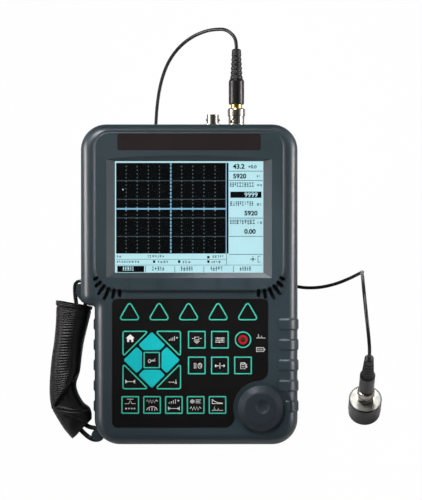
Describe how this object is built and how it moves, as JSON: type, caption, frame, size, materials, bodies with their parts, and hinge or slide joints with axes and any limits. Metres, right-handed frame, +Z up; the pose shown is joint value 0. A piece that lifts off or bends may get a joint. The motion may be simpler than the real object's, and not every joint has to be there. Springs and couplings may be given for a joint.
{
  "type": "ultrasonic flaw detector",
  "caption": "Hand-held ultrasonic flaw detector leaning on its kickstand, with screen, keypad, knob, hand strap, coaxial lead and round straight-beam probe.",
  "frame": {"origin": "on the table, under the middle of the box that the instrument, its strap and the probe fill together without the lead", "axes": "+X across the face towards the probe, +Y away from the user, +Z up; the face slopes back by 35 degrees"},
  "size_m": [0.2656, 0.2974, 0.2049],
  "materials": {
    "key_teal": "printed membrane",
    "case_plastic": "moulded, fine texture",
    "battery_wrap": "shrink wrap",
    "gasket_rubber": "matt",
    "steel": "plated",
    "key_black": "printed membrane",
    "tie_plastic": "moulded",
    "panel_sheet": "printed membrane",
    "stand_metal": "powder coat",
    "knob_plastic": "satin",
    "display": "glossy",
    "lead_rubber": "smooth",
    "board": "solder mask",
    "plate_sheet": "printed sheet",
    "plug_black": "satin black",
    "nickel": "nickel plated",
    "gold_brass": "gold plated",
    "probe_steel": "turned",
    "probe_black": "black finish",
    "window": "clear",
    "insulator": "moulded",
    "sleeve_leather": "soft leather with creases",
    "webbing": "woven"
  },
  "bodies": {
    "case": {"battery_door": "case_plastic", "battery_pack": "battery_wrap", "case_gasket": "gasket_rubber", "case_screws": "steel", "coil_tie": "tie_plastic", "encoder_body": "steel", "front_shell": "case_plastic", "keypad_panel": "panel_sheet", "lcd_module": "display", "lead_coil": "lead_rubber", "lead_lower": "lead_rubber", "lead_upper": "lead_rubber", "main_board": "board", "nameplate": "plate_sheet", "plug_a_barrel": "plug_black", "plug_a_boot": "lead_rubber", "plug_b_barrel": "plug_black", "plug_b_boot": "lead_rubber", "plug_ferrules": "gold_brass", "probe_cap": "probe_steel", "probe_case": "probe_black", "probe_socket": "nickel", "probe_sole": "probe_steel", "rear_shell": "case_plastic", "screen_window": "window", "socket_insulators": "insulator", "strap_sleeve": "sleeve_leather", "strap_webbing": "webbing", "top_sockets": "nickel"},
    "arrow_key_down": {"arrow_key_down": "key_teal"},
    "arrow_key_left": {"arrow_key_left": "key_teal"},
    "arrow_key_right": {"arrow_key_right": "key_teal"},
    "arrow_key_up": {"arrow_key_up": "key_teal"},
    "centre_key": {"centre_key": "key_black"},
    "corner_key_lower_left": {"corner_key_lower_left": "key_black"},
    "corner_key_lower_right": {"corner_key_lower_right": "key_black"},
    "corner_key_upper_left": {"corner_key_upper_left": "key_black"},
    "corner_key_upper_right": {"corner_key_upper_right": "key_black"},
    "lower_key_1": {"lower_key_1": "key_black"},
    "lower_key_2": {"lower_key_2": "key_black"},
    "lower_key_3": {"lower_key_3": "key_black"},
    "lower_key_4": {"lower_key_4": "key_black"},
    "lower_key_5": {"lower_key_5": "key_black"},
    "middle_key_1": {"middle_key_1": "key_black"},
    "middle_key_2": {"middle_key_2": "key_black"},
    "middle_key_3": {"middle_key_3": "key_black"},
    "power_key": {"power_key": "key_black"},
    "soft_key_1": {"soft_key_1": "key_black"},
    "soft_key_2": {"soft_key_2": "key_black"},
    "soft_key_3": {"soft_key_3": "key_black"},
    "soft_key_4": {"soft_key_4": "key_black"},
    "soft_key_5": {"soft_key_5": "key_black"},
    "upper_key_1": {"upper_key_1": "key_black"},
    "upper_key_2": {"upper_key_2": "key_black"},
    "knob": {"knob": "knob_plastic", "encoder_shaft": "steel"},
    "kickstand": {"kickstand": "stand_metal"},
    "plug_a_nut": {"plug_a_nut": "nickel"},
    "plug_b_nut": {"plug_b_nut": "nickel"}
  },
  "joints": [
    {"name": "arrow_key_down_press", "type": "slide", "parent": "case", "child": "arrow_key_down", "axis": [0, 0.5736, -0.8192], "range_m": [0, 0.0005], "stiffness_N_per_m": 1500, "springref_m": -0.0005},
    {"name": "arrow_key_left_press", "type": "slide", "parent": "case", "child": "arrow_key_left", "axis": [0, 0.5736, -0.8192], "range_m": [0, 0.0005], "stiffness_N_per_m": 1500, "springref_m": -0.0005},
    {"name": "arrow_key_right_press", "type": "slide", "parent": "case", "child": "arrow_key_right", "axis": [0, 0.5736, -0.8192], "range_m": [0, 0.0005], "stiffness_N_per_m": 1500, "springref_m": -0.0005},
    {"name": "arrow_key_up_press", "type": "slide", "parent": "case", "child": "arrow_key_up", "axis": [0, 0.5736, -0.8192], "range_m": [0, 0.0005], "stiffness_N_per_m": 1500, "springref_m": -0.0005},
    {"name": "centre_key_press", "type": "slide", "parent": "case", "child": "centre_key", "axis": [0, 0.5736, -0.8192], "range_m": [0, 0.0005], "stiffness_N_per_m": 1500, "springref_m": -0.0005},
    {"name": "corner_key_lower_left_press", "type": "slide", "parent": "case", "child": "corner_key_lower_left", "axis": [0, 0.5736, -0.8192], "range_m": [0, 0.0005], "stiffness_N_per_m": 1500, "springref_m": -0.0005},
    {"name": "corner_key_lower_right_press", "type": "slide", "parent": "case", "child": "corner_key_lower_right", "axis": [0, 0.5736, -0.8192], "range_m": [0, 0.0005], "stiffness_N_per_m": 1500, "springref_m": -0.0005},
    {"name": "corner_key_upper_left_press", "type": "slide", "parent": "case", "child": "corner_key_upper_left", "axis": [0, 0.5736, -0.8192], "range_m": [0, 0.0005], "stiffness_N_per_m": 1500, "springref_m": -0.0005},
    {"name": "corner_key_upper_right_press", "type": "slide", "parent": "case", "child": "corner_key_upper_right", "axis": [0, 0.5736, -0.8192], "range_m": [0, 0.0005], "stiffness_N_per_m": 1500, "springref_m": -0.0005},
    {"name": "lower_key_1_press", "type": "slide", "parent": "case", "child": "lower_key_1", "axis": [0, 0.5736, -0.8192], "range_m": [0, 0.0005], "stiffness_N_per_m": 1500, "springref_m": -0.0005},
    {"name": "lower_key_2_press", "type": "slide", "parent": "case", "child": "lower_key_2", "axis": [0, 0.5736, -0.8192], "range_m": [0, 0.0005], "stiffness_N_per_m": 1500, "springref_m": -0.0005},
    {"name": "lower_key_3_press", "type": "slide", "parent": "case", "child": "lower_key_3", "axis": [0, 0.5736, -0.8192], "range_m": [0, 0.0005], "stiffness_N_per_m": 1500, "springref_m": -0.0005},
    {"name": "lower_key_4_press", "type": "slide", "parent": "case", "child": "lower_key_4", "axis": [0, 0.5736, -0.8192], "range_m": [0, 0.0005], "stiffness_N_per_m": 1500, "springref_m": -0.0005},
    {"name": "lower_key_5_press", "type": "slide", "parent": "case", "child": "lower_key_5", "axis": [0, 0.5736, -0.8192], "range_m": [0, 0.0005], "stiffness_N_per_m": 1500, "springref_m": -0.0005},
    {"name": "middle_key_1_press", "type": "slide", "parent": "case", "child": "middle_key_1", "axis": [0, 0.5736, -0.8192], "range_m": [0, 0.0005], "stiffness_N_per_m": 1500, "springref_m": -0.0005},
    {"name": "middle_key_2_press", "type": "slide", "parent": "case", "child": "middle_key_2", "axis": [0, 0.5736, -0.8192], "range_m": [0, 0.0005], "stiffness_N_per_m": 1500, "springref_m": -0.0005},
    {"name": "middle_key_3_press", "type": "slide", "parent": "case", "child": "middle_key_3", "axis": [0, 0.5736, -0.8192], "range_m": [0, 0.0005], "stiffness_N_per_m": 1500, "springref_m": -0.0005},
    {"name": "power_key_press", "type": "slide", "parent": "case", "child": "power_key", "axis": [0, 0.5736, -0.8192], "range_m": [0, 0.0005], "stiffness_N_per_m": 1500, "springref_m": -0.0005},
    {"name": "soft_key_1_press", "type": "slide", "parent": "case", "child": "soft_key_1", "axis": [0, 0.5736, -0.8192], "range_m": [0, 0.0005], "stiffness_N_per_m": 1500, "springref_m": -0.0005},
    {"name": "soft_key_2_press", "type": "slide", "parent": "case", "child": "soft_key_2", "axis": [0, 0.5736, -0.8192], "range_m": [0, 0.0005], "stiffness_N_per_m": 1500, "springref_m": -0.0005},
    {"name": "soft_key_3_press", "type": "slide", "parent": "case", "child": "soft_key_3", "axis": [0, 0.5736, -0.8192], "range_m": [0, 0.0005], "stiffness_N_per_m": 1500, "springref_m": -0.0005},
    {"name": "soft_key_4_press", "type": "slide", "parent": "case", "child": "soft_key_4", "axis": [0, 0.5736, -0.8192], "range_m": [0, 0.0005], "stiffness_N_per_m": 1500, "springref_m": -0.0005},
    {"name": "soft_key_5_press", "type": "slide", "parent": "case", "child": "soft_key_5", "axis": [0, 0.5736, -0.8192], "range_m": [0, 0.0005], "stiffness_N_per_m": 1500, "springref_m": -0.0005},
    {"name": "upper_key_1_press", "type": "slide", "parent": "case", "child": "upper_key_1", "axis": [0, 0.5736, -0.8192], "range_m": [0, 0.0005], "stiffness_N_per_m": 1500, "springref_m": -0.0005},
    {"name": "upper_key_2_press", "type": "slide", "parent": "case", "child": "upper_key_2", "axis": [0, 0.5736, -0.8192], "range_m": [0, 0.0005], "stiffness_N_per_m": 1500, "springref_m": -0.0005},
    {"name": "knob_turn", "type": "hinge", "parent": "case", "child": "knob", "pos_m": [0.03445, -0.09639, 0.06166], "axis": [0, -0.5736, 0.8192], "continuous": true},
    {"name": "kickstand_fold", "type": "hinge", "parent": "case", "child": "kickstand", "pos_m": [-0.02135, 0.03407, 0.09014], "axis": [-1, 0, 0], "range_deg": [0, 67]},
    {"name": "plug_a_nut_turn", "type": "hinge", "parent": "case", "child": "plug_a_nut", "pos_m": [0.01595, 0.11082, 0.16707], "axis": [0, 0.8192, 0.5736], "range_deg": [0, 90]},
    {"name": "plug_b_nut_turn", "type": "hinge", "parent": "case", "child": "plug_b_nut", "pos_m": [0.11965, -0.062, 0.028], "axis": [0, 0, 1], "range_deg": [0, 90]}
  ]
}
